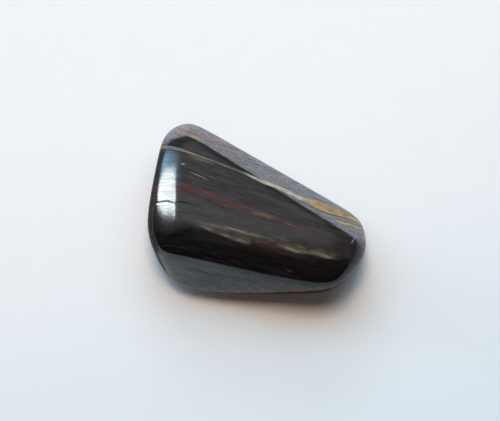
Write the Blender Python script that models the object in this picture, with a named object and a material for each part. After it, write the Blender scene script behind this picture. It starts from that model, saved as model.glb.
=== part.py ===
"""A tumbled piece of banded ironstone, about 23 mm long, lying on its own small flat spot.

Metres, +Z up. X runs along the stone from its blunt end (-X) to its narrow end (+X), and Y across it
from the near side (-Y), which slopes, to the far side (+Y), which is steep. The origin is on the
surface that the stone rests on, under the middle of its own box.
"""

import math

import bmesh
import bpy
from mathutils import Vector

MM = 0.001

# Each side that the tumbler ground flat: its name, its heading in degrees (0 is +X, 90 is +Y), how far
# its outward normal tilts from straight up in degrees, and how far it lies from the stone's core in mm.
GROUND_FACES = (
    ("top", 0, 0, 4.5),
    ("blunt end", 169, 90, 11.6),
    ("blunt end bevel", 178, 30, 7.8),
    ("blunt end, near part", 198, 95, 12.2),
    ("far side", 60, 84, 5.2),
    ("far bevel", 57, 56, 4.3),
    ("far corner", 110, 78, 12.0),
    ("far corner bevel", 110, 50, 9.9),
    ("far side by the narrow end", 25, 80, 9.6),
    ("narrow end", 352, 86, 12.4),
    ("narrow end bevel", 330, 36, 9.7),
    ("narrow end, near corner", 314, 98, 12.1),
    ("near side", 271, 100, 9.0),
    ("near slope", 258, 64, 8.1),
    ("near bevel", 261, 24, 6.3),
    ("near corner", 224, 88, 11.8),
    ("underside", 0, 180, 4.3),
    ("underside, far part", 70, 164, 4.7),
    ("underside, near part", 250, 164, 5.2),
    ("underside, blunt part", 175, 163, 5.6),
    ("underside, narrow part", 350, 163, 5.6),
    ("far lower bevel", 75, 130, 6.4),
    ("near lower bevel", 262, 130, 9.0),
    ("blunt end lower bevel", 172, 128, 10.2),
    ("narrow end lower bevel", 338, 128, 11.6),
)

# How crisply two neighbouring faces meet: 18 leaves edges rounded to about 1 or 2 mm.
EDGE_CRISPNESS = 18

# The core's height over the resting surface. The underside reaches slightly deeper than that, and what
# would lie below the surface is worn off as the small flat spot that the stone rests on.
CORE_HEIGHT = 4.2 * MM

# Cells along X, Y and Z of the blank that the stone is worn down from.
BLANK_CELLS = (36, 30, 15)
BLANK_HALF_SIZE = Vector((12.0, 9.5, 4.4)) * MM

STONE_COLOUR = (0.036, 0.031, 0.032, 1.0)
STONE_ROUGHNESS = 0.15


def clear_scene():
    for obj in list(bpy.data.objects):
        bpy.data.objects.remove(obj, do_unlink=True)


def normal_towards(heading, tilt):
    """The unit normal with this heading and tilt, both in degrees."""
    heading, tilt = math.radians(heading), math.radians(tilt)
    return Vector(
        (math.sin(tilt) * math.cos(heading), math.sin(tilt) * math.sin(heading), math.cos(tilt))
    )


def worn_surface(point, faces):
    """The point moved along its line from the core until it lies on the worn surface.

    A stone cut by the flat faces alone would reach as far as the nearest of them. The power sum gives
    nearly that distance out on a face, and a little less where faces meet, which rounds the edges.
    """
    direction = point.normalized()
    wear = sum(
        max(0.0, normal.dot(direction) / distance) ** EDGE_CRISPNESS for normal, distance in faces
    )
    return direction * wear ** (-1.0 / EDGE_CRISPNESS)


def blank_block():
    """A box of even cells around the core, with the stone's rough proportions."""
    block = bmesh.new()
    bmesh.ops.create_cube(block, size=2.0)
    for axis, cells in enumerate(BLANK_CELLS):
        along = Vector((0.0, 0.0, 0.0))
        along[axis] = 1.0
        edges = [
            edge
            for edge in block.edges
            if abs((edge.verts[1].co - edge.verts[0].co).normalized().dot(along)) > 0.99
        ]
        bmesh.ops.subdivide_edges(block, edges=edges, cuts=cells - 1, use_grid_fill=True)
    bmesh.ops.scale(block, vec=BLANK_HALF_SIZE, verts=block.verts)
    return block


def wear_down(block):
    faces = [
        (normal_towards(heading, tilt), distance * MM)
        for _, heading, tilt, distance in GROUND_FACES
    ]
    for vert in block.verts:
        vert.co = worn_surface(vert.co, faces)


def rest_flat(block):
    """Lift the core to its height and wear the underside flat where it meets the surface."""
    bmesh.ops.translate(block, vec=(0.0, 0.0, CORE_HEIGHT), verts=block.verts)
    bmesh.ops.bisect_plane(
        block,
        geom=block.verts[:] + block.edges[:] + block.faces[:],
        dist=0.001 * MM,
        plane_co=(0.0, 0.0, 0.0),
        plane_no=(0.0, 0.0, 1.0),
        clear_inner=True,
    )
    rim = [edge for edge in block.edges if edge.is_boundary]
    bmesh.ops.edgeloop_fill(block, edges=rim)


def centre_over_origin(block):
    for axis in (0, 1):
        reach = [vert.co[axis] for vert in block.verts]
        shift = Vector((0.0, 0.0, 0.0))
        shift[axis] = -(min(reach) + max(reach)) / 2
        bmesh.ops.translate(block, vec=shift, verts=block.verts)


def polished_ironstone():
    material = bpy.data.materials.new("polished_ironstone")
    material.use_nodes = True
    shader = material.node_tree.nodes["Principled BSDF"]
    shader.inputs["Base Color"].default_value = STONE_COLOUR
    shader.inputs["Roughness"].default_value = STONE_ROUGHNESS
    shader.inputs["Metallic"].default_value = 0.0
    return material


def build_stone(collection):
    block = blank_block()
    wear_down(block)
    rest_flat(block)
    centre_over_origin(block)
    bmesh.ops.recalc_face_normals(block, faces=block.faces)
    mesh = bpy.data.meshes.new("banded_ironstone")
    block.to_mesh(mesh)
    block.free()
    mesh.shade_smooth()
    mesh.set_sharp_from_angle(angle=math.radians(30))
    mesh.materials.append(polished_ironstone())
    stone = bpy.data.objects.new("banded_ironstone", mesh)
    collection.objects.link(stone)
    return stone


clear_scene()
stones = bpy.data.collections.new("banded ironstone")
bpy.context.scene.collection.children.link(stones)
build_stone(stones)
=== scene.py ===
"""A tumbled and polished piece of banded ironstone, about 23 mm long, lying on a plain pale floor.

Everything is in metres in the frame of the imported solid: X runs along the stone from its blunt end to its
narrow end, Y from its sloping near side to its steep far side, and Z up from the floor.
"""

import math

import bmesh
import bpy
from mathutils import Matrix, Vector


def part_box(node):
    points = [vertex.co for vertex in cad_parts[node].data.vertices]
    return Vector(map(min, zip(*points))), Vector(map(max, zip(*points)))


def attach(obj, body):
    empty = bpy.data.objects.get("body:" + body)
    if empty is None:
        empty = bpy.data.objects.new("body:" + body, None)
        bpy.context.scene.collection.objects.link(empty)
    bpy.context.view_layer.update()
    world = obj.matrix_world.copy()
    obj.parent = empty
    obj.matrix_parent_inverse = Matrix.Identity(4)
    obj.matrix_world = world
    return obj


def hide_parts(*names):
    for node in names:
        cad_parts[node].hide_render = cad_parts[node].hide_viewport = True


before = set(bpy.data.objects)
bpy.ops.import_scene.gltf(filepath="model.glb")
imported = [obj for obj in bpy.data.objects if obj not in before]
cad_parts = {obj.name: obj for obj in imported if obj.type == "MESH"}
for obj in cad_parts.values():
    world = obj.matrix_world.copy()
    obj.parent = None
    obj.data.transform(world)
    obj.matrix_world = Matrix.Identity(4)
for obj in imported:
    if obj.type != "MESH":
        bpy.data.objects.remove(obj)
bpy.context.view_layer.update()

MM = 0.001

# The camera. It looks from the stone's near side, 15 degrees off straight down and 30 cm away, through a
# long lens. The far side and the narrow end are seen at a grazing angle only.
LOOK_AT = Vector((-0.752, 0.825, 0.0)) * MM
CAMERA_DISTANCE = 300 * MM
CAMERA_LEAN = math.radians(15)
SENSOR_WIDTH = 36.0
IMAGE_WIDTH = 500
FOCAL_LENGTH_IN_PIXELS = 2745

lens = bpy.data.cameras.new("camera")
lens.sensor_fit = "HORIZONTAL"
lens.sensor_width = SENSOR_WIDTH
lens.lens = FOCAL_LENGTH_IN_PIXELS / IMAGE_WIDTH * SENSOR_WIDTH
lens.clip_start = 1 * MM
camera = bpy.data.objects.new("camera", lens)
camera.location = LOOK_AT + CAMERA_DISTANCE * Vector((0.0, -math.sin(CAMERA_LEAN), math.cos(CAMERA_LEAN)))
camera.rotation_euler = (CAMERA_LEAN, 0.0, 0.0)
bpy.context.scene.collection.objects.link(camera)
bpy.context.scene.camera = camera
bpy.context.scene.view_settings.view_transform = "Standard"


# The floor. A plain matt sheet, so pale that the polished stone mirrors it on every side that leans
# outwards. It is wide enough that the mirrored part never reaches its edge.
FLOOR_HALF_WIDTH = 500 * MM
FLOOR_MOTTLE = 2.5      # mm across one cloud of the sheet's faint unevenness
FLOOR_PALE = "#F1F1F1"
FLOOR_DIM = "#EEEEEF"
# Painted light falloff: the floor's colour turns towards this blue where less of the warm light reaches it.
FLOOR_FALLOFF_BLUE = "#D9E6EE"
FLOOR_FALLOFF_START = 20 * MM      # how far towards the far side the bluer part begins
FLOOR_FALLOFF_END = -45 * MM


def linear(colour):
    """An sRGB hex colour as linear red, green, blue and alpha."""
    parts = [int(colour[place:place + 2], 16) / 255 for place in (1, 3, 5)]
    return tuple(p / 12.92 if p <= 0.04045 else ((p + 0.055) / 1.055) ** 2.4 for p in parts) + (1.0,)


def add_node(tree, kind, inputs=None, **settings):
    """One node with its settings. Each input is linked if it is given a socket, and set otherwise."""
    node = tree.nodes.new(kind)
    for name, value in settings.items():
        setattr(node, name, value)
    for name, value in (inputs or {}).items():
        if isinstance(value, bpy.types.NodeSocket):
            tree.links.new(value, node.inputs[name])
        else:
            node.inputs[name].default_value = value
    return node


def matt_sheet():
    """Uncoated matt card, rolled smooth: even, without shine, and very slightly clouded. Its colour also
    holds painted light falloff.
    """
    material = bpy.data.materials.new("matt_sheet")
    material.use_nodes = True
    tree = material.node_tree
    place = add_node(tree, "ShaderNodeTexCoord").outputs["Object"]
    clouds = add_node(
        tree, "ShaderNodeTexNoise", {"Vector": place, "Scale": 1000 / FLOOR_MOTTLE, "Detail": 3.0}
    )
    colour = add_node(
        tree,
        "ShaderNodeMix",
        {0: clouds.outputs[0], 6: linear(FLOOR_DIM), 7: linear(FLOOR_PALE)},
        data_type="RGBA",
    )

    # Painted light falloff: the sheet's colour turns a little bluer towards its near right corner, where
    # less of the warm light reaches it.
    away = add_node(tree, "ShaderNodeVectorMath", {0: place, 1: (-0.25, 1.0, 0.0)}, operation="DOT_PRODUCT")
    painted_falloff = add_node(
        tree,
        "ShaderNodeMapRange",
        {"Value": away.outputs["Value"], "From Min": FLOOR_FALLOFF_START, "From Max": FLOOR_FALLOFF_END},
        interpolation_type="SMOOTHSTEP",
    )
    colour = add_node(
        tree,
        "ShaderNodeMix",
        {0: painted_falloff.outputs[0], 6: colour.outputs[2], 7: linear(FLOOR_FALLOFF_BLUE)},
        data_type="RGBA",
    )
    shader = tree.nodes["Principled BSDF"]
    tree.links.new(colour.outputs[2], shader.inputs["Base Color"])
    shader.inputs["Roughness"].default_value = 0.9
    shader.inputs["Specular IOR Level"].default_value = 0.1
    return material


sheet = bmesh.new()
bmesh.ops.create_grid(sheet, x_segments=8, y_segments=8, size=FLOOR_HALF_WIDTH)
floor_mesh = bpy.data.meshes.new("floor")
sheet.to_mesh(floor_mesh)
sheet.free()
floor_mesh.materials.append(matt_sheet())
floor = bpy.data.objects.new("floor", floor_mesh)
bpy.context.scene.collection.objects.link(floor)


# The light. A pale room on the far side and a dark one on the near side, a tall window beyond the blunt
# end, which shows as the highlight, and large soft panels overhead, which throw the warm-edged shadow.
ROOM_FAR = linear("#C3C3C7")
ROOM_RIGHT = linear("#878484")
ROOM_LOW = linear("#84807F")
ROOM_NEAR = linear("#2A211F")
CEILING_GLOW = linear("#5A5352")
ROOM_BEHIND_STONE = linear("#EEF0F2")
WINDOW = linear("#F0F9FC")
WINDOW_GLOW = linear("#9AC6E4")
WINDOW_STRENGTH = 17.0
WINDOW_GLOW_STRENGTH = 7.5


def overhead_panel(name, heading, height, distance, width, tall, floor_share, colour):
    """A soft panel that faces the stone, and that the polish doesn't mirror.

    Its heading and height are in degrees, and its distance and size in metres. A small panel lights the
    floor to this share of full white, and a wide one to a little less.
    """
    heading, height = math.radians(heading), math.radians(height)
    away = Vector((
        math.cos(height) * math.cos(heading),
        math.cos(height) * math.sin(heading),
        math.sin(height),
    ))
    light = bpy.data.lights.new(name, "AREA")
    light.shape = "RECTANGLE"
    light.size = width
    light.size_y = tall
    light.color = linear(colour)[:3]
    light.energy = 4 * math.pi * distance**2 * floor_share / math.sin(height)
    panel = bpy.data.objects.new(name, light)
    panel.location = away * distance
    panel.rotation_euler = (-away).to_track_quat("-Z", "Y").to_euler()
    panel.visible_glossy = False
    bpy.context.scene.collection.objects.link(panel)


overhead_panel(
    "warm_key", heading=100, height=82, distance=0.30, width=0.08, tall=0.09, floor_share=0.365,
    colour="#FFDEC0",
)
overhead_panel(
    "cool_sky", heading=100, height=60, distance=0.60, width=1.10, tall=0.40, floor_share=0.70,
    colour="#CAEAFF",
)
overhead_panel(
    "low_sky", heading=96, height=30, distance=0.50, width=0.30, tall=0.12, floor_share=0.09,
    colour="#DDF0FF",
)
overhead_panel(
    "near_fill", heading=270, height=50, distance=0.50, width=0.40, tall=0.40, floor_share=0.05,
    colour="#FFDCC8",
)

room = bpy.data.worlds.new("room")
room.use_nodes = True
bpy.context.scene.world = room
tree = room.node_tree
towards = add_node(tree, "ShaderNodeTexCoord").outputs["Generated"]
parts = add_node(tree, "ShaderNodeSeparateXYZ", {0: towards})

# The dark side of the room starts farther back on the blunt end's side than on the narrow end's.
rightward = add_node(tree, "ShaderNodeMath", {0: parts.outputs["X"], 1: 0.0}, operation="MAXIMUM")
skew = add_node(tree, "ShaderNodeMath", {0: rightward.outputs[0], 1: 0.45}, operation="MULTIPLY")
skew = add_node(
    tree,
    "ShaderNodeMath",
    {0: parts.outputs["X"], 1: 0.08, 2: skew.outputs[0]},
    operation="MULTIPLY_ADD",
)
depth = add_node(tree, "ShaderNodeMath", {0: parts.outputs["Y"], 1: skew.outputs[0]}, operation="ADD")
farness = add_node(
    tree,
    "ShaderNodeMapRange",
    {"Value": depth.outputs[0], "From Min": 0.08, "From Max": 0.25},
    interpolation_type="SMOOTHSTEP",
)
rightness = add_node(
    tree,
    "ShaderNodeMapRange",
    {"Value": parts.outputs["X"], "From Min": 0.0, "From Max": 0.35},
    interpolation_type="SMOOTHSTEP",
)
tallness = add_node(
    tree,
    "ShaderNodeMapRange",
    {"Value": parts.outputs["Z"], "From Min": 0.35, "From Max": 0.75},
    interpolation_type="SMOOTHSTEP",
)
overhead = add_node(
    tree,
    "ShaderNodeMapRange",
    {"Value": parts.outputs["Z"], "From Min": 0.96, "From Max": 1.0},
    interpolation_type="SMOOTHSTEP",
)
upper_wall = add_node(
    tree,
    "ShaderNodeMix",
    {0: rightness.outputs[0], 6: ROOM_FAR, 7: ROOM_RIGHT},
    data_type="RGBA",
)
far_wall = add_node(
    tree,
    "ShaderNodeMix",
    {0: tallness.outputs[0], 6: ROOM_LOW, 7: upper_wall.outputs[2]},
    data_type="RGBA",
)
near_side = add_node(
    tree,
    "ShaderNodeMix",
    {0: overhead.outputs[0], 6: ROOM_NEAR, 7: CEILING_GLOW},
    data_type="RGBA",
)
walls = add_node(
    tree,
    "ShaderNodeMix",
    {0: farness.outputs[0], 6: near_side.outputs[2], 7: far_wall.outputs[2]},
    data_type="RGBA",
)

# The window, as headings and heights in degrees. The blunt end stretches it sideways, so its sides lean
# and its sill and head slope for its mirror image to stand straight.
LEAN_START = 24.0                           # the height above which the sides lean
FIRST_SIDE, FIRST_LEAN = 159.80, -0.095     # heading, and degrees of lean for each degree of height
LAST_SIDE, LAST_LEAN = 161.65, -0.14
SILL_HEADING, SILL_HEIGHT, SILL_SLOPE = 159.9, 5.5, 5.6
HEAD_HEADING, HEAD_HEIGHT, HEAD_SLOPE = 158.7, 33.2, 4.2


def degrees_of(node):
    """The value of a node, turned from radians to degrees."""
    return add_node(tree, "ShaderNodeMath", {0: node.outputs[0]}, operation="DEGREES").outputs[0]


def side_of(value, edge, soft):
    """From 0 to 1 as this value passes the edge, over a band of this softness."""
    past = add_node(tree, "ShaderNodeMath", {0: value, 1: edge}, operation="SUBTRACT")
    return add_node(
        tree,
        "ShaderNodeMapRange",
        {"Value": past.outputs[0], "From Min": -soft, "From Max": soft},
        interpolation_type="SMOOTHSTEP",
    ).outputs[0]


def along_line(value, slope, start):
    """The height of a straight line at this value."""
    return add_node(
        tree, "ShaderNodeMath", {0: value, 1: slope, 2: start}, operation="MULTIPLY_ADD"
    ).outputs[0]


turn = add_node(tree, "ShaderNodeMath", {0: parts.outputs["Y"], 1: parts.outputs["X"]}, operation="ARCTAN2")
heading = degrees_of(turn)
rise = add_node(tree, "ShaderNodeMath", {0: parts.outputs["Z"]}, operation="ARCSINE")
height = degrees_of(rise)
high_part = add_node(
    tree, "ShaderNodeMath", {0: along_line(height, 1.0, -LEAN_START), 1: 0.0}, operation="MAXIMUM"
).outputs[0]
first_side = side_of(heading, along_line(high_part, FIRST_LEAN, FIRST_SIDE), 0.10)
last_side = side_of(along_line(high_part, LAST_LEAN, LAST_SIDE), heading, 0.30)
sill = side_of(height, along_line(heading, SILL_SLOPE, SILL_HEIGHT - SILL_SLOPE * SILL_HEADING), 1.4)
head = side_of(along_line(heading, HEAD_SLOPE, HEAD_HEIGHT - HEAD_SLOPE * HEAD_HEADING), height, 1.2)
window = 1.0
for side in (first_side, last_side, sill, head):
    window = add_node(tree, "ShaderNodeMath", {0: window, 1: side}, operation="MULTIPLY").outputs[0]

# Its upper pane shows only a strip of blue sky, which fades away from the window.
glow = 1.0
for side in (
    side_of(heading, 153.5, 8.0),
    side_of(159.8, heading, 0.5),
    side_of(height, 2.0, 3.0),
    side_of(30.0, height, 20.0),
):
    glow = add_node(tree, "ShaderNodeMath", {0: glow, 1: side}, operation="MULTIPLY").outputs[0]
walls = add_node(
    tree,
    "ShaderNodeMix",
    {0: glow, 6: walls.outputs[2], 7: tuple(WINDOW_GLOW_STRENGTH * part for part in WINDOW_GLOW)},
    data_type="RGBA",
)
walls = add_node(
    tree,
    "ShaderNodeMix",
    {0: window, 6: walls.outputs[2], 7: tuple(WINDOW_STRENGTH * part for part in WINDOW)},
    data_type="RGBA",
)
rays = add_node(tree, "ShaderNodeLightPath")
surroundings = add_node(
    tree,
    "ShaderNodeMix",
    {0: rays.outputs["Is Camera Ray"], 6: walls.outputs[2], 7: ROOM_BEHIND_STONE},
    data_type="RGBA",
)
spill = add_node(
    tree,
    "ShaderNodeMapRange",
    {"Value": rays.outputs["Is Diffuse Ray"], "To Min": 1.0, "To Max": 0.25},
)
tree.links.new(surroundings.outputs[2], tree.nodes["Background"].inputs["Color"])
tree.links.new(spill.outputs[0], tree.nodes["Background"].inputs["Strength"])


# The stone's shape. One natural piece, broken from a bed of layered iron ore and jasper and tumbled with
# finer and finer grit until its broken sides were ground flat and its edges round, and then polished.
GROUND_FACES = (   # name, heading in degrees, tilt from straight up in degrees, distance from the core in mm
    ("top", 0, 0, 4.5),
    ("blunt end", 169, 90, 11.6),
    ("blunt end bevel", 178, 30, 7.8),
    ("blunt end, near part", 198, 95, 12.2),
    ("far side", 60, 84, 5.2),
    ("far bevel", 57, 56, 4.3),
    ("far corner", 110, 78, 12.0),
    ("far corner bevel", 110, 50, 9.9),
    ("far side by the narrow end", 25, 80, 9.6),
    ("narrow end", 352, 86, 12.4),
    ("narrow end bevel", 330, 36, 9.7),
    ("narrow end, near corner", 314, 98, 12.1),
    ("near side", 271, 100, 9.0),
    ("near slope", 258, 64, 8.1),
    ("near bevel", 261, 24, 6.3),
    ("near corner", 224, 88, 11.8),
    ("underside", 0, 180, 4.3),
    ("underside, far part", 70, 164, 4.7),
    ("underside, near part", 250, 164, 5.2),
    ("underside, blunt part", 175, 163, 5.6),
    ("underside, narrow part", 350, 163, 5.6),
    ("far lower bevel", 75, 130, 6.4),
    ("near lower bevel", 262, 130, 9.0),
    ("blunt end lower bevel", 172, 128, 10.2),
    ("narrow end lower bevel", 338, 128, 11.6),
)
CORE = (0.0, -0.355, 4.2)           # mm
BLANK_SIZE = (24.0, 19.0, 8.8)      # mm
BLANK_POINTS = (176, 146, 68)       # grid points along X, Y and Z of the blank
LAYER_LEAN = (0.37, 1.0, 0.33)      # how fast each mm along X, Y and Z crosses the layers
LAYER_ZERO = 2.871                  # mm, puts layer height 0 through the middle of the top
LAYER_BEND_START = -7.0             # mm, where the layers begin to bend towards the blunt end
LAYER_BEND = 0.08                   # mm of bend for each square mm past that
REACH = 12.0                        # mm, half of the length that a layer's course covers
WAVES_PER_MM = 0.25
BRUISES_PER_MM = 0.67
CRACK = (   # place along X, layer height, half width, depth from 0 to 1
    (-11.6, -3.7, 0.02, 0.0), (-10.6, -3.67, 0.05, 1.0), (-9.6, -3.62, 0.05, 1.0), (-8.9, -3.78, 0.04, 0.7),
    (-8.3, -3.56, 0.06, 1.0), (-7.2, -3.42, 0.06, 0.8), (-6.0, -3.31, 0.04, 0.4), (-4.6, -3.25, 0.02, 0.0),
)


def across_layers(tree, place):
    """How high a place, in mm, lies in the pile of layers. The layers bend at the blunt end."""
    straight = add_node(tree, "ShaderNodeVectorMath", {0: place, 1: LAYER_LEAN}, operation="DOT_PRODUCT")
    x = add_node(tree, "ShaderNodeSeparateXYZ", {0: place}).outputs["X"]
    past = add_node(tree, "ShaderNodeMath", {0: LAYER_BEND_START, 1: x}, operation="SUBTRACT")
    bent = add_node(tree, "ShaderNodeMath", {0: past.outputs[0], 1: 0.0}, operation="MAXIMUM")
    square = add_node(tree, "ShaderNodeMath", {0: bent.outputs[0], 1: 2.0}, operation="POWER")
    bend = add_node(
        tree,
        "ShaderNodeMath",
        {0: square.outputs[0], 1: LAYER_BEND, 2: -LAYER_ZERO},
        operation="MULTIPLY_ADD",
    )
    return add_node(
        tree,
        "ShaderNodeMath",
        {0: straight.outputs["Value"], 1: bend.outputs[0]},
        operation="ADD",
    ).outputs[0]


def follow_course(tree, x, height, stations, soft):
    """How strongly a layer shows, from 0 to 1, at a place with this x and height in the pile, in mm.

    Each station gives a place along X, the layer's height and half width there, and its strength. Its
    edges fade over this many mm on either side.
    """
    share = add_node(tree, "ShaderNodeMath", {0: x, 1: REACH}, operation="DIVIDE")
    curves = add_node(tree, "ShaderNodeVectorCurve", {"Vector": share.outputs[0]})
    curves.mapping.extend = "HORIZONTAL"
    for axis, scale in enumerate((REACH, REACH, 1.0)):
        points = curves.mapping.curves[axis].points
        while len(points) < len(stations):
            points.new(0.0, 0.0)
        for point, station in zip(points, stations):
            point.location = (station[0] / REACH, station[1 + axis] / scale)
            point.handle_type = "AUTO_CLAMPED"
    curves.mapping.update()
    course = add_node(tree, "ShaderNodeSeparateXYZ", {0: curves.outputs[0]})
    level = add_node(tree, "ShaderNodeMath", {0: height, 1: REACH}, operation="DIVIDE")
    off = add_node(
        tree,
        "ShaderNodeMath",
        {0: level.outputs[0], 1: course.outputs["X"]},
        operation="SUBTRACT",
    )
    away = add_node(tree, "ShaderNodeMath", {0: off.outputs[0]}, operation="ABSOLUTE")
    outside = add_node(
        tree,
        "ShaderNodeMath",
        {0: away.outputs[0], 1: course.outputs["Y"]},
        operation="SUBTRACT",
    )
    return add_node(
        tree,
        "ShaderNodeMapRange",
        {
            "Value": outside.outputs[0],
            "From Min": soft / REACH,
            "From Max": -soft / REACH,
            "To Min": 0.0,
            "To Max": course.outputs["Z"],
        },
        interpolation_type="SMOOTHSTEP",
    ).outputs[0]


def worn_stone(material):
    """The tree that wears a blank down to the stone, with the sizes of its wear as named inputs, in mm."""
    tree = bpy.data.node_groups.new("worn_stone", "GeometryNodeTree")
    tree.interface.new_socket("Geometry", in_out="OUTPUT", socket_type="NodeSocketGeometry")
    for name in ("Edge Crispness", "Wave Depth", "Bruise Depth", "Crack Depth"):
        tree.interface.new_socket(name, in_out="INPUT", socket_type="NodeSocketFloat")
    sizes = add_node(tree, "NodeGroupInput").outputs

    blank = add_node(
        tree,
        "GeometryNodeMeshCube",
        {
            "Size": BLANK_SIZE,
            "Vertices X": BLANK_POINTS[0],
            "Vertices Y": BLANK_POINTS[1],
            "Vertices Z": BLANK_POINTS[2],
        },
    )
    place = add_node(tree, "GeometryNodeInputPosition").outputs[0]
    direction = add_node(tree, "ShaderNodeVectorMath", {0: place}, operation="NORMALIZE").outputs[0]

    # Out on a face, this power sum reaches nearly as far as the face. Where faces meet it stays a little
    # short, which rounds the edge.
    wear = None
    for name, heading, tilt, distance in GROUND_FACES:
        heading, tilt = math.radians(heading), math.radians(tilt)
        normal = Vector((
            math.sin(tilt) * math.cos(heading),
            math.sin(tilt) * math.sin(heading),
            math.cos(tilt),
        ))
        facing = add_node(
            tree,
            "ShaderNodeVectorMath",
            {0: direction, 1: normal / distance},
            operation="DOT_PRODUCT",
            label=name,
        )
        front = add_node(tree, "ShaderNodeMath", {0: facing.outputs["Value"], 1: 0.0}, operation="MAXIMUM")
        raised = add_node(
            tree,
            "ShaderNodeMath",
            {0: front.outputs[0], 1: sizes["Edge Crispness"]},
            operation="POWER",
        ).outputs[0]
        if wear is None:
            wear = raised
        else:
            wear = add_node(tree, "ShaderNodeMath", {0: wear, 1: raised}, operation="ADD").outputs[0]
    root = add_node(tree, "ShaderNodeMath", {0: -1.0, 1: sizes["Edge Crispness"]}, operation="DIVIDE")
    radius = add_node(tree, "ShaderNodeMath", {0: wear, 1: root.outputs[0]}, operation="POWER").outputs[0]
    smooth = add_node(tree, "ShaderNodeVectorMath", {0: direction, 3: radius}, operation="SCALE").outputs[0]
    smooth = add_node(tree, "ShaderNodeVectorMath", {0: smooth, 1: CORE}, operation="ADD").outputs[0]
    parts = add_node(tree, "ShaderNodeSeparateXYZ", {0: smooth})

    # Slow waves 4 mm long, because a tumbler grinds no side quite flat.
    waves = add_node(tree, "ShaderNodeTexNoise", {"Vector": smooth, "Scale": WAVES_PER_MM, "Detail": 1.0})
    wave_depth = add_node(
        tree,
        "ShaderNodeMath",
        {0: waves.outputs[0], 1: sizes["Wave Depth"]},
        operation="MULTIPLY",
    ).outputs[0]

    # Bruises from the tumbler, half a mm wide, at one in five of the spots of a 1.5 mm scatter. The broad
    # top has hardly any.
    spots = add_node(tree, "ShaderNodeTexVoronoi", {"Vector": smooth, "Scale": BRUISES_PER_MM})
    dent = add_node(
        tree,
        "ShaderNodeMapRange",
        {"Value": spots.outputs["Distance"], "From Min": 0.20, "From Max": 0.04},
        interpolation_type="SMOOTHSTEP",
    ).outputs[0]
    chance = add_node(tree, "ShaderNodeSeparateXYZ", {0: spots.outputs["Color"]}).outputs["X"]
    chosen = add_node(tree, "ShaderNodeMath", {0: chance, 1: 0.8}, operation="GREATER_THAN").outputs[0]
    low_down = add_node(
        tree,
        "ShaderNodeMapRange",
        {"Value": parts.outputs["Z"], "From Min": 8.0, "From Max": 6.5},
    ).outputs[0]
    bruise = add_node(tree, "ShaderNodeMath", {0: dent, 1: chosen}, operation="MULTIPLY").outputs[0]
    bruise = add_node(tree, "ShaderNodeMath", {0: bruise, 1: low_down}, operation="MULTIPLY").outputs[0]
    worn = add_node(
        tree,
        "ShaderNodeMath",
        {0: bruise, 1: sizes["Bruise Depth"], 2: wave_depth},
        operation="MULTIPLY_ADD",
    ).outputs[0]

    # The open crack between two layers, from the blunt end on to the top.
    height = across_layers(tree, smooth)
    crack = follow_course(tree, parts.outputs["X"], height, CRACK, 0.09)
    worn = add_node(
        tree,
        "ShaderNodeMath",
        {0: crack, 1: sizes["Crack Depth"], 2: worn},
        operation="MULTIPLY_ADD",
    ).outputs[0]

    radius = add_node(tree, "ShaderNodeMath", {0: radius, 1: worn}, operation="SUBTRACT").outputs[0]
    place = add_node(tree, "ShaderNodeVectorMath", {0: direction, 3: radius}, operation="SCALE").outputs[0]
    place = add_node(tree, "ShaderNodeVectorMath", {0: place, 1: CORE}, operation="ADD").outputs[0]

    # What would lie below the floor is worn off: the small flat spot that the stone rests on. No point
    # lies as far out as -50 mm, so X and Y stay as they are.
    place = add_node(
        tree,
        "ShaderNodeVectorMath",
        {0: place, 1: (-50.0, -50.0, 0.0)},
        operation="MAXIMUM",
    ).outputs[0]
    place = add_node(tree, "ShaderNodeVectorMath", {0: place, 3: MM}, operation="SCALE").outputs[0]
    shaped = add_node(
        tree,
        "GeometryNodeSetPosition",
        {"Geometry": blank.outputs["Mesh"], "Position": place},
    ).outputs[0]
    shaded = add_node(tree, "GeometryNodeSetShadeSmooth", {"Geometry": shaped}).outputs[0]
    plain = add_node(tree, "GeometryNodeRealizeInstances", {"Geometry": shaded}).outputs[0]
    done = add_node(tree, "GeometryNodeSetMaterial", {"Geometry": plain, "Material": material}).outputs[0]
    add_node(tree, "NodeGroupOutput", {0: done})
    return tree


def shaped_stone(material):
    """The stone as a plain mesh inside the box of its solid."""
    seed = bpy.data.objects.new("stone_seed", bpy.data.meshes.new("stone_seed"))
    bpy.context.scene.collection.objects.link(seed)
    wear = seed.modifiers.new("wear", "NODES")
    wear.node_group = worn_stone(material)
    amounts = {"Edge Crispness": 18.0, "Wave Depth": 0.012, "Bruise Depth": 0.04, "Crack Depth": 0.005}
    for socket in wear.node_group.interface.items_tree:
        if socket.in_out == "INPUT":
            wear[socket.identifier] = amounts[socket.name]
    evaluated = seed.evaluated_get(bpy.context.evaluated_depsgraph_get())
    mesh = bpy.data.meshes.new_from_object(evaluated)
    mesh.name = "polished_stone"
    seed.modifiers.remove(wear)
    bpy.data.objects.remove(seed)

    low = Vector(tuple(min(v.co[axis] for v in mesh.vertices) for axis in range(3)))
    high = Vector(tuple(max(v.co[axis] for v in mesh.vertices) for axis in range(3)))
    solid_low, solid_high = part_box("banded_ironstone")
    fit = min(1.0, min((solid_high[axis] - solid_low[axis]) / (high[axis] - low[axis]) for axis in range(3)))
    foot = Vector(((low.x + high.x) / 2, (low.y + high.y) / 2, low.z))
    solid_foot = Vector(((solid_low.x + solid_high.x) / 2, (solid_low.y + solid_high.y) / 2, solid_low.z))
    mesh.transform(Matrix.Translation(solid_foot) @ Matrix.Scale(fit, 4) @ Matrix.Translation(-foot))
    stone = bpy.data.objects.new("polished_stone", mesh)
    bpy.context.scene.collection.objects.link(stone)
    return stone


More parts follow.
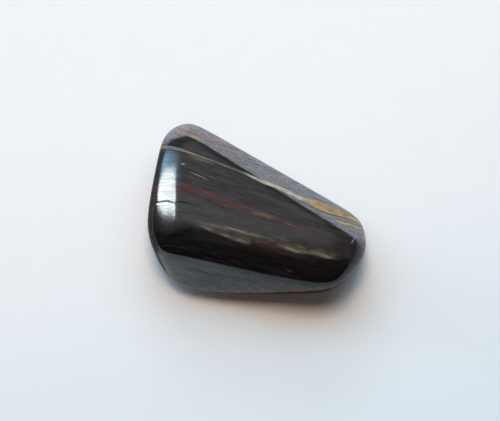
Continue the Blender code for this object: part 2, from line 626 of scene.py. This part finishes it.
# The stone's finish. Layered iron ore and jasper under a high tumbled polish: near-black ore that mirrors
# like dark glass, with thin layers of red jasper, cream quartz, golden tiger-iron and olive chert.
ORE = "#0A0A0B"
ORE_LIGHT = "#222224"
# The frosted sides' grey, partly their own colour and partly painted sheen, and the painted glint of a few
# of their grains.
FROST_AND_SHEEN = "#7A7A80"
PAINTED_GLINT = "#B4B4BA"
FROST_GRAIN = 0.125                     # mm across one grain of the frosted sides
POLISH_GRAIN = 0.2                      # mm across one grain of the polish
RELIEF_DEPTH = 0.0008                   # mm
ALONG_LAYERS = (0.938, -0.347, 0.0)
INTO_STONE = (0.103, 0.277, -0.956)
NEAR_SLOPE = (0.50, -0.85, 0.0)         # the way that the near slope faces
FROSTED_SIDES = (                       # the way that each faces, and how much less of it is frosted
    ((0.30, 0.95, 0.0), 0.0),
    ((0.86, 0.50, 0.0), 0.06),
    ((-0.50, 0.86, 0.0), 0.10),
)
LAYERS = (
    # name, colour, second colour, how well it takes the polish, soft edge in mm, raggedness in mm, how
    # broken up by streaks it is, and its stations (place along X, height, half width, strength)
    ("brown ore by the near side", "#151212", "#0C0B0C", 1.0, 0.60, 0.20, 0.3, (
        (-12.0, -6.9, 1.2, 1.0), (12.0, -5.4, 1.4, 1.0),
    )),
    ("dusky chert above the olive", "#38342C", "#231E1B", 1.0, 0.60, 0.35, 0.7, (
        (-12.0, -3.4, 0.7, 0.2), (-8.0, -3.6, 0.8, 0.8), (0.0, -3.3, 0.8, 0.8), (6.0, -2.7, 0.8, 0.6),
        (10.0, -2.2, 0.6, 0.2),
    )),
    ("dark red ore among the olive", "#331E1E", "#241616", 1.0, 0.30, 0.20, 0.4, (
        (-1.6, -4.9, 0.05, 0.0), (-0.2, -4.86, 0.45, 0.9), (0.9, -4.80, 0.45, 1.0), (2.4, -4.85, 0.35, 0.9),
        (4.6, -4.9, 0.25, 0.5), (7.0, -4.6, 0.2, 0.0),
    )),
    ("olive chert", "#4A473F", "#34312D", 0.95, 0.34, 0.30, 0.65, (
        (-10.5, -4.5, 0.3, 0.0), (-8.5, -4.8, 0.55, 0.4), (-6.0, -5.05, 0.48, 0.8),
        (-3.8, -4.95, 0.50, 0.9), (-2.3, -4.85, 0.62, 0.9), (0.0, -4.45, 0.42, 0.8),
        (2.0, -4.12, 0.42, 0.9), (4.7, -3.90, 0.45, 1.0), (7.1, -3.50, 0.48, 0.9), (8.9, -3.12, 0.36, 0.6),
        (10.4, -2.9, 0.3, 0.0),
    )),
    ("pale middle of the olive chert", "#69675B", "#504E47", 0.95, 0.18, 0.14, 0.6, (
        (-6.6, -5.2, 0.05, 0.0), (-5.0, -5.0, 0.10, 0.5), (-3.2, -4.57, 0.14, 0.9),
        (-1.9, -4.42, 0.14, 0.9), (-0.4, -4.30, 0.12, 1.0), (0.6, -4.18, 0.10, 0.9), (1.6, -4.0, 0.05, 0.0),
    )),
    ("pale foot of the olive chert", "#6F6D60", "#545248", 0.95, 0.18, 0.14, 0.55, (
        (-6.5, -5.5, 0.06, 0.0), (-5.3, -5.46, 0.12, 0.8), (-4.2, -5.45, 0.12, 0.9),
        (-2.9, -5.52, 0.14, 0.9), (-1.8, -5.48, 0.16, 1.0), (-0.9, -5.35, 0.14, 0.8),
        (-0.1, -5.15, 0.08, 0.0), (1.5, -4.60, 0.08, 0.0), (2.6, -4.48, 0.16, 0.9), (3.8, -4.42, 0.17, 1.0),
        (5.1, -4.26, 0.14, 1.0), (6.1, -3.92, 0.13, 0.8), (7.2, -3.86, 0.14, 1.0), (8.0, -3.78, 0.10, 0.7),
        (9.0, -3.6, 0.05, 0.0),
    )),
    ("olive fleck in the pale foot", "#8E8A5C", "#74714F", 0.9, 0.12, 0.10, 0.3, (
        (2.9, -4.40, 0.03, 0.0), (3.5, -4.38, 0.10, 1.0), (4.1, -4.36, 0.08, 0.6), (4.6, -4.3, 0.03, 0.0),
    )),
    ("red jasper", "#3A1919", "#451D1C", 0.78, 0.30, 0.16, 0.35, (
        (-12.0, -1.9, 0.50, 0.8), (-10.9, -2.04, 0.58, 0.9), (-8.5, -2.10, 0.62, 0.9),
        (-7.0, -1.85, 0.48, 0.9), (-5.0, -1.72, 0.46, 1.0), (-3.8, -1.66, 0.36, 1.0),
        (-2.6, -1.86, 0.40, 1.0), (-1.3, -1.80, 0.38, 1.0), (-0.5, -1.78, 0.30, 0.9),
        (0.8, -1.72, 0.26, 0.7), (2.4, -1.62, 0.24, 0.7), (4.0, -1.62, 0.20, 0.6), (5.8, -1.66, 0.18, 0.5),
        (8.0, -1.60, 0.16, 0.4), (9.6, -1.6, 0.10, 0.0),
    )),
    ("bright streak in the red jasper", "#5E2C28", "#4A2320", 0.8, 0.16, 0.12, 0.6, (
        (-9.5, -1.8, 0.05, 0.0), (-8.5, -1.80, 0.10, 0.5), (-6.2, -1.50, 0.10, 0.6),
        (-4.7, -1.50, 0.12, 0.9), (-3.4, -1.60, 0.10, 0.7), (-1.3, -1.60, 0.08, 0.6),
        (0.4, -1.80, 0.07, 0.5), (1.6, -1.7, 0.04, 0.0),
    )),
    ("orange thread in the jasper's tail", "#6E4432", "#54342A", 0.9, 0.07, 0.05, 0.45, (
        (2.0, -1.70, 0.03, 0.0), (2.8, -1.72, 0.04, 0.3), (3.5, -1.78, 0.05, 0.8), (4.3, -1.80, 0.05, 0.8),
        (5.1, -1.72, 0.04, 0.4), (6.4, -1.70, 0.03, 0.2), (7.4, -1.7, 0.03, 0.0),
    )),
    ("gold spot in the jasper", "#6C553A", "#524030", 0.9, 0.18, 0.12, 0.3, (
        (-0.7, -1.95, 0.05, 0.0), (0.1, -1.88, 0.12, 0.9), (0.8, -1.77, 0.15, 1.0), (1.4, -1.68, 0.12, 0.8),
        (2.2, -1.6, 0.05, 0.0),
    )),
    ("cream streak", "#84806F", "#68655A", 0.95, 0.08, 0.05, 0.3, (
        (-7.2, 0.03, 0.03, 0.0), (-6.7, 0.02, 0.05, 0.9), (-6.0, 0.02, 0.05, 0.9), (-5.4, -0.06, 0.03, 0.5),
        (-4.9, -0.15, 0.02, 0.0),
    )),
    ("brown mottle", "#40382D", "#2B2622", 1.0, 0.30, 0.25, 0.5, (
        (3.2, 0.1, 0.05, 0.0), (4.4, -0.02, 0.22, 0.8), (5.4, -0.15, 0.24, 0.9), (6.9, -0.16, 0.20, 0.7),
        (8.0, -0.3, 0.05, 0.0),
    )),
    ("olive chert under the pale line", "#55523F", "#3A372E", 1.0, 0.16, 0.12, 0.3, (
        (-7.6, 1.85, 0.04, 0.0), (-6.9, 1.84, 0.14, 0.9), (-6.1, 1.89, 0.16, 1.0), (-5.2, 1.93, 0.12, 0.9),
        (-4.4, 1.95, 0.04, 0.0),
    )),
    ("brown chert over the pale line", "#342D24", "#241E1A", 1.0, 0.25, 0.15, 0.3, (
        (-8.2, 2.75, 0.04, 0.0), (-7.1, 2.71, 0.20, 0.9), (-5.8, 2.66, 0.18, 0.8), (-4.6, 2.6, 0.04, 0.0),
    )),
    ("pale line", "#8E8C84", "#76746C", 0.95, 0.09, 0.05, 0.2, (
        (-11.4, 2.4, 0.08, 0.6), (-10.3, 2.46, 0.16, 1.0), (-8.9, 2.38, 0.15, 1.0), (-7.1, 2.20, 0.09, 1.0),
        (-5.0, 2.22, 0.06, 0.8), (-3.0, 2.19, 0.05, 0.7), (-1.3, 2.15, 0.06, 0.8), (-0.4, 2.1, 0.05, 0.0),
    )),
    ("cream quartz", "#B4AE99", "#A09A88", 0.5, 0.07, 0.12, 0.15, (
        (-1.6, 2.13, 0.04, 0.0), (-0.9, 2.10, 0.10, 0.9), (0.5, 1.96, 0.18, 1.0), (1.7, 1.90, 0.19, 1.0),
        (2.5, 1.80, 0.17, 1.0), (3.7, 1.65, 0.16, 1.0), (4.6, 1.50, 0.17, 1.0), (5.5, 1.44, 0.20, 1.0),
        (6.3, 1.42, 0.22, 0.5), (7.3, 1.38, 0.22, 0.0),
    )),
    ("golden tiger-iron", "#A88C64", "#8C7350", 0.3, 0.09, 0.06, 0.3, (
        (4.8, 1.42, 0.10, 0.0), (5.8, 1.44, 0.27, 0.8), (6.9, 1.38, 0.34, 1.0), (7.5, 1.30, 0.31, 1.0),
        (8.6, 1.32, 0.27, 1.0), (9.3, 1.34, 0.22, 1.0), (10.5, 1.13, 0.10, 1.0), (11.3, 1.0, 0.03, 0.0),
    )),
    ("upper yellow edge", "#CBA433", "#AC8638", 0.2, 0.07, 0.05, 0.35, (
        (5.0, 1.66, 0.02, 0.0), (5.8, 1.71, 0.05, 0.8), (6.9, 1.70, 0.06, 1.0), (7.5, 1.62, 0.06, 1.0),
        (8.6, 1.57, 0.06, 1.0), (9.3, 1.53, 0.06, 1.0), (10.5, 1.20, 0.05, 1.0), (11.3, 1.0, 0.03, 0.0),
    )),
    ("lower yellow edge", "#CBA433", "#AC8638", 0.2, 0.07, 0.05, 0.35, (
        (5.2, 1.20, 0.02, 0.0), (5.8, 1.18, 0.05, 0.8), (6.4, 1.10, 0.06, 1.0), (7.5, 1.00, 0.07, 1.0),
        (8.8, 1.07, 0.06, 1.0), (9.9, 1.12, 0.06, 1.0), (10.6, 1.09, 0.05, 0.9), (11.3, 1.0, 0.03, 0.0),
    )),
    ("dark seam under the gold", "#1E181C", "#141012", 0.9, 0.06, 0.05, 0.2, (
        (4.6, 1.02, 0.03, 0.0), (5.7, 0.92, 0.05, 0.6), (7.2, 0.84, 0.06, 0.9), (8.4, 0.92, 0.05, 1.0),
        (10.0, 0.96, 0.04, 1.0), (11.4, 0.9, 0.03, 0.0),
    )),
    ("lilac quartz", "#6F727D", "#5C5F6A", 0.8, 0.08, 0.05, 0.2, (
        (7.6, 0.70, 0.03, 0.0), (8.3, 0.70, 0.07, 0.9), (9.2, 0.78, 0.09, 1.0), (10.4, 0.79, 0.08, 1.0),
        (11.4, 0.7, 0.03, 0.0),
    )),
    ("dark seam over the yellow line", "#1E181C", "#141012", 0.9, 0.05, 0.04, 0.2, (
        (8.2, 0.60, 0.02, 0.0), (8.8, 0.58, 0.04, 0.9), (10.0, 0.64, 0.04, 1.0), (11.4, 0.6, 0.03, 0.0),
    )),
    ("lower yellow line", "#C8A136", "#AA863A", 0.2, 0.07, 0.04, 0.3, (
        (8.2, 0.45, 0.02, 0.0), (8.7, 0.42, 0.06, 0.9), (9.3, 0.40, 0.07, 1.0), (10.1, 0.48, 0.07, 1.0),
        (11.1, 0.44, 0.06, 0.9), (11.7, 0.4, 0.03, 0.0),
    )),
    ("orange jasper", "#A24E3C", "#7A4036", 0.4, 0.14, 0.10, 0.45, (
        (-10.2, 4.6, 0.03, 0.0), (-8.8, 4.56, 0.10, 0.5), (-7.4, 4.46, 0.13, 1.0), (-6.1, 4.48, 0.12, 1.0),
        (-4.8, 4.34, 0.12, 0.7), (-3.8, 4.27, 0.12, 0.5), (-2.4, 4.2, 0.12, 0.3), (-0.6, 4.1, 0.10, 0.0),
    )),
    ("olive spot", "#8F8C5C", "#6E6C4E", 0.7, 0.14, 0.10, 0.3, (
        (-9.0, 4.1, 0.08, 0.0), (-7.6, 4.05, 0.12, 0.4), (-6.6, 4.01, 0.14, 0.9), (-6.1, 3.95, 0.10, 0.5),
        (-5.0, 3.9, 0.04, 0.0),
    )),
    ("pale speck", "#7E8894", "#7E8894", 0.9, 0.05, 0.0, 0.0, (
        (-12.0, 0.72, 0.0, 0.0), (-8.2, 0.72, 0.0, 0.0), (-8.0, 0.72, 0.08, 1.0), (-7.8, 0.72, 0.08, 1.0),
        (-7.6, 0.72, 0.0, 0.0), (12.0, 0.72, 0.0, 0.0),
    )),
    ("red speck", "#422624", "#422624", 1.0, 0.08, 0.0, 0.0, (
        (-12.0, -6.91, 0.0, 0.0), (2.9, -6.91, 0.02, 0.0), (3.25, -6.91, 0.10, 1.0),
        (3.55, -6.91, 0.10, 1.0), (3.9, -6.91, 0.02, 0.0), (12.0, -6.91, 0.0, 0.0),
    )),
    ("dark seam on the near slope", "#050404", "#050404", 0.6, 0.06, 0.05, 0.3, (
        (-8.0, -10.9, 0.02, 0.0), (-6.9, -10.73, 0.05, 0.8), (-5.5, -10.55, 0.05, 1.0),
        (-3.7, -10.2, 0.05, 0.9), (-1.2, -9.73, 0.04, 0.7), (0.6, -9.4, 0.02, 0.0),
    )),
    ("open crack", "#050404", "#050404", 0.25, 0.05, 0.03, 0.0, CRACK),
    ("second crack", "#060505", "#060505", 0.6, 0.05, 0.04, 0.2, (
        (-9.0, -4.7, 0.03, 0.0), (-8.1, -4.60, 0.05, 0.8), (-6.8, -4.30, 0.05, 0.9),
        (-5.5, -4.13, 0.04, 0.7), (-4.7, -4.0, 0.02, 0.0),
    )),
)


SCRATCH_WHITE = "#9CA4A8"
SCRATCH = (   # layer height, place along X, half width, strength
    (-1.5, 10.0, 0.02, 0.0), (-1.2, 10.1, 0.05, 0.9), (-0.8, 10.3, 0.04, 0.6), (-0.1, 10.6, 0.03, 0.7),
    (0.3, 10.7, 0.02, 0.0),
)


def polished_ironstone():
    """Banded ironstone polished with tin oxide: glassy dark ore, and softer layers that shine less."""
    material = bpy.data.materials.new("polished_ironstone")
    material.use_nodes = True
    tree = material.node_tree
    place = add_node(tree, "ShaderNodeTexCoord").outputs["Object"]
    place = add_node(tree, "ShaderNodeVectorMath", {0: place, 3: 1 / MM}, operation="SCALE").outputs[0]
    x = add_node(tree, "ShaderNodeSeparateXYZ", {0: place}).outputs["X"]
    height = across_layers(tree, place)

    # Coordinates that run along the layers: along the stone, across the layers and down into the stone.
    along = add_node(
        tree, "ShaderNodeVectorMath", {0: place, 1: ALONG_LAYERS}, operation="DOT_PRODUCT"
    ).outputs["Value"]
    inwards = add_node(
        tree, "ShaderNodeVectorMath", {0: place, 1: INTO_STONE}, operation="DOT_PRODUCT"
    ).outputs["Value"]
    bed = add_node(tree, "ShaderNodeCombineXYZ", {0: along, 1: height, 2: inwards}).outputs[0]

    def bed_noise(per_mm, detail):
        """Noise that follows the layers, with this many features in each mm along, across and inwards."""
        scaled = add_node(tree, "ShaderNodeVectorMath", {0: bed, 1: per_mm}, operation="MULTIPLY").outputs[0]
        return add_node(
            tree, "ShaderNodeTexNoise", {"Vector": scaled, "Scale": 1.0, "Detail": detail}
        ).outputs[0]

    waver = bed_noise((0.30, 0.30, 0.30), 1.0)
    fringe = bed_noise((1.1, 2.6, 1.1), 3.0)
    streaks = bed_noise((0.30, 5.0, 0.30), 4.0)
    threads = bed_noise((0.8, 13.0, 0.8), 2.0)
    blotches = bed_noise((0.9, 2.4, 0.9), 3.0)
    grain = add_node(
        tree, "ShaderNodeTexNoise", {"Vector": place, "Scale": 1 / POLISH_GRAIN, "Detail": 3.0}
    ).outputs[0]

    height = add_node(
        tree, "ShaderNodeMath", {0: waver, 1: 0.25, 2: height}, operation="MULTIPLY_ADD"
    ).outputs[0]
    height = add_node(tree, "ShaderNodeMath", {0: height, 1: 0.125}, operation="SUBTRACT").outputs[0]

    # The ore itself, striped finely by its richer and poorer layers.
    stripe = add_node(
        tree,
        "ShaderNodeMapRange",
        {"Value": streaks, "From Min": 0.42, "From Max": 0.72},
        interpolation_type="SMOOTHSTEP",
    ).outputs[0]
    colour = add_node(
        tree, "ShaderNodeMix", {0: stripe, 6: linear(ORE), 7: linear(ORE_LIGHT)}, data_type="RGBA"
    ).outputs[2]

    # The steep far side was ground but hardly polished, and so were both its corners. Their grains scatter
    # light like frost, and their lighter grey is partly their own colour and partly painted sheen. A few of
    # them carry a painted glint. The frost is a little stronger in some layers.
    towards = add_node(tree, "ShaderNodeTexCoord").outputs["Normal"]
    steepness = 0.0
    for outwards, less in FROSTED_SIDES:
        facing = add_node(
            tree, "ShaderNodeVectorMath", {0: towards, 1: outwards}, operation="DOT_PRODUCT"
        ).outputs["Value"]
        facing = add_node(tree, "ShaderNodeMath", {0: facing, 1: less}, operation="SUBTRACT")
        steepness = add_node(
            tree, "ShaderNodeMath", {0: steepness, 1: facing.outputs[0]}, operation="MAXIMUM"
        ).outputs[0]
    frosting = add_node(
        tree,
        "ShaderNodeMapRange",
        {"Value": steepness, "From Min": 0.46, "From Max": 0.66},
        interpolation_type="SMOOTHSTEP",
    ).outputs[0]
    grains = add_node(tree, "ShaderNodeTexVoronoi", {"Vector": place, "Scale": 1 / FROST_GRAIN})
    brightness = add_node(tree, "ShaderNodeSeparateXYZ", {0: grains.outputs["Color"]}).outputs["X"]
    frost_and_sheen = add_node(
        tree, "ShaderNodeMapRange", {"Value": brightness, "To Min": 0.33, "To Max": 0.88}
    ).outputs[0]
    frost_and_sheen = add_node(tree, "ShaderNodeMath", {0: frost_and_sheen, 1: frosting}, operation="MULTIPLY").outputs[0]
    # Painted sheen: the frost is made up to 1.62 times lighter towards the blunt end.
    sheen_towards_blunt_end = add_node(
        tree,
        "ShaderNodeMapRange",
        {"Value": x, "From Min": -3.0, "From Max": -9.0, "To Min": 1.0, "To Max": 1.62},
        interpolation_type="SMOOTHSTEP",
    ).outputs[0]
    frost_and_sheen = add_node(tree, "ShaderNodeMath", {0: frost_and_sheen, 1: sheen_towards_blunt_end}, operation="MULTIPLY").outputs[0]
    banding = add_node(
        tree,
        "ShaderNodeMapRange",
        {"Value": streaks, "From Min": 0.35, "From Max": 0.65, "To Min": 0.82, "To Max": 1.18},
    ).outputs[0]
    frost_and_sheen = add_node(tree, "ShaderNodeMath", {0: frost_and_sheen, 1: banding}, operation="MULTIPLY").outputs[0]
    colour = add_node(
        tree, "ShaderNodeMix", {0: frost_and_sheen, 6: colour, 7: linear(FROST_AND_SHEEN)}, data_type="RGBA"
    ).outputs[2]
    # Painted glints: a few frosted grains get a lighter colour that stands in for sparkles of reflected
    # light.
    painted_glint = add_node(
        tree,
        "ShaderNodeMapRange",
        {"Value": brightness, "From Min": 0.92, "From Max": 0.99, "To Max": 0.35},
    ).outputs[0]
    painted_glint = add_node(tree, "ShaderNodeMath", {0: painted_glint, 1: frosting}, operation="MULTIPLY").outputs[0]
    colour = add_node(
        tree, "ShaderNodeMix", {0: painted_glint, 6: colour, 7: linear(PAINTED_GLINT)}, data_type="RGBA"
    ).outputs[2]

    polish = 1.0
    for name, first, second, shine, soft, ragged, broken, stations in LAYERS:
        frayed = add_node(
            tree, "ShaderNodeMath", {0: fringe, 1: 2 * ragged, 2: height}, operation="MULTIPLY_ADD"
        ).outputs[0]
        frayed = add_node(tree, "ShaderNodeMath", {0: frayed, 1: ragged}, operation="SUBTRACT").outputs[0]
        strength = follow_course(tree, x, frayed, stations, soft)
        gaps = add_node(
            tree,
            "ShaderNodeMapRange",
            {"Value": streaks, "From Min": 0.62, "From Max": 0.42, "To Min": 1.0 - broken, "To Max": 1.0},
            interpolation_type="SMOOTHSTEP",
        ).outputs[0]
        strength = add_node(tree, "ShaderNodeMath", {0: strength, 1: gaps}, operation="MULTIPLY").outputs[0]
        tone = add_node(
            tree,
            "ShaderNodeMapRange",
            {"Value": blotches, "From Min": 0.40, "From Max": 0.62},
            interpolation_type="SMOOTHSTEP",
        ).outputs[0]
        paint = add_node(
            tree, "ShaderNodeMix", {0: tone, 6: linear(first), 7: linear(second)}, data_type="RGBA"
        ).outputs[2]
        colour = add_node(
            tree, "ShaderNodeMix", {0: strength, 6: colour, 7: paint}, data_type="RGBA", label=name
        ).outputs[2]
        polish = add_node(tree, "ShaderNodeMix", {0: strength, 2: polish, 3: shine}).outputs[0]

    # A bruise left a short white scratch across the layers at the narrow end.
    scratch = follow_course(tree, height, x, SCRATCH, 0.05)
    colour = add_node(
        tree, "ShaderNodeMix", {0: scratch, 6: colour, 7: linear(SCRATCH_WHITE)}, data_type="RGBA"
    ).outputs[2]

    # Fine threads of lighter and darker stone run through every layer.
    thread_tone = add_node(
        tree,
        "ShaderNodeMapRange",
        {"Value": threads, "From Min": 0.35, "From Max": 0.65, "To Min": 0.72, "To Max": 1.28},
    ).outputs[0]
    colour = add_node(
        tree, "ShaderNodeVectorMath", {0: colour, 3: thread_tone}, operation="SCALE"
    ).outputs[0]

    # Grains and layers that are a little harder or softer take the polish a little better or worse.
    evenness = add_node(tree, "ShaderNodeMath", {0: streaks, 1: blotches}, operation="ADD").outputs[0]
    evenness = add_node(
        tree,
        "ShaderNodeMapRange",
        {"Value": evenness, "From Min": 0.82, "From Max": 1.18, "To Min": 0.76, "To Max": 1.0},
    ).outputs[0]
    polish = add_node(tree, "ShaderNodeMath", {0: polish, 1: evenness}, operation="MULTIPLY").outputs[0]
    dulled = add_node(
        tree, "ShaderNodeMapRange", {"Value": frosting, "To Min": 1.0, "To Max": 0.55}
    ).outputs[0]
    polish = add_node(tree, "ShaderNodeMath", {0: polish, 1: dulled}, operation="MULTIPLY").outputs[0]

    # The blunt end itself was ground flat across the layers and took less of a shine.
    endwards = add_node(tree, "ShaderNodeSeparateXYZ", {0: towards}).outputs["X"]
    dulled = add_node(
        tree,
        "ShaderNodeMapRange",
        {"Value": endwards, "From Min": -0.62, "From Max": -0.80, "To Min": 1.0, "To Max": 0.25},
        interpolation_type="SMOOTHSTEP",
    ).outputs[0]
    polish = add_node(tree, "ShaderNodeMath", {0: polish, 1: dulled}, operation="MULTIPLY").outputs[0]

    # The near slope took less of a shine too, and less and less towards the narrow end. Its grains show
    # as a fine mottle.
    nearwards = add_node(
        tree, "ShaderNodeVectorMath", {0: towards, 1: NEAR_SLOPE}, operation="DOT_PRODUCT"
    ).outputs["Value"]
    near_share = add_node(
        tree,
        "ShaderNodeMapRange",
        {"Value": nearwards, "From Min": 0.40, "From Max": 0.65},
        interpolation_type="SMOOTHSTEP",
    ).outputs[0]
    loss = add_node(
        tree,
        "ShaderNodeMapRange",
        {"Value": x, "From Min": -8.0, "From Max": 8.0, "To Min": 0.0, "To Max": 0.34},
    ).outputs[0]
    mottle = add_node(
        tree, "ShaderNodeMapRange", {"Value": grain, "From Min": 0.40, "From Max": 0.60, "To Max": 0.16}
    ).outputs[0]
    loss = add_node(tree, "ShaderNodeMath", {0: loss, 1: mottle}, operation="ADD").outputs[0]
    loss = add_node(tree, "ShaderNodeMath", {0: loss, 1: near_share}, operation="MULTIPLY").outputs[0]
    kept = add_node(tree, "ShaderNodeMath", {0: 1.0, 1: loss}, operation="SUBTRACT").outputs[0]
    polish = add_node(tree, "ShaderNodeMath", {0: polish, 1: kept}, operation="MULTIPLY").outputs[0]

    # What is less polished under the shine is rougher as well, and the frosted grains stand up more.
    roughness = add_node(
        tree,
        "ShaderNodeMapRange",
        {"Value": polish, "From Min": 0.2, "From Max": 1.0, "To Min": 0.6, "To Max": 0.15},
    ).outputs[0]
    roughened = add_node(
        tree, "ShaderNodeMath", {0: frosting, 1: 10.0, 2: 1.0}, operation="MULTIPLY_ADD"
    ).outputs[0]
    bumps = add_node(tree, "ShaderNodeMath", {0: grain, 1: roughened}, operation="MULTIPLY").outputs[0]
    relief = add_node(
        tree, "ShaderNodeBump", {"Strength": 1.0, "Distance": RELIEF_DEPTH * MM, "Height": bumps}
    )
    shader = tree.nodes["Principled BSDF"]
    tree.links.new(colour, shader.inputs["Base Color"])
    tree.links.new(polish, shader.inputs["Coat Weight"])
    tree.links.new(relief.outputs[0], shader.inputs["Normal"])
    tree.links.new(relief.outputs[0], shader.inputs["Coat Normal"])
    tree.links.new(roughness, shader.inputs["Roughness"])
    shader.inputs["Specular IOR Level"].default_value = 0.0
    shader.inputs["Coat Roughness"].default_value = 0.06
    shader.inputs["Coat IOR"].default_value = 1.8
    return material


stone = shaped_stone(polished_ironstone())
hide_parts("banded_ironstone")
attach(stone, "root")
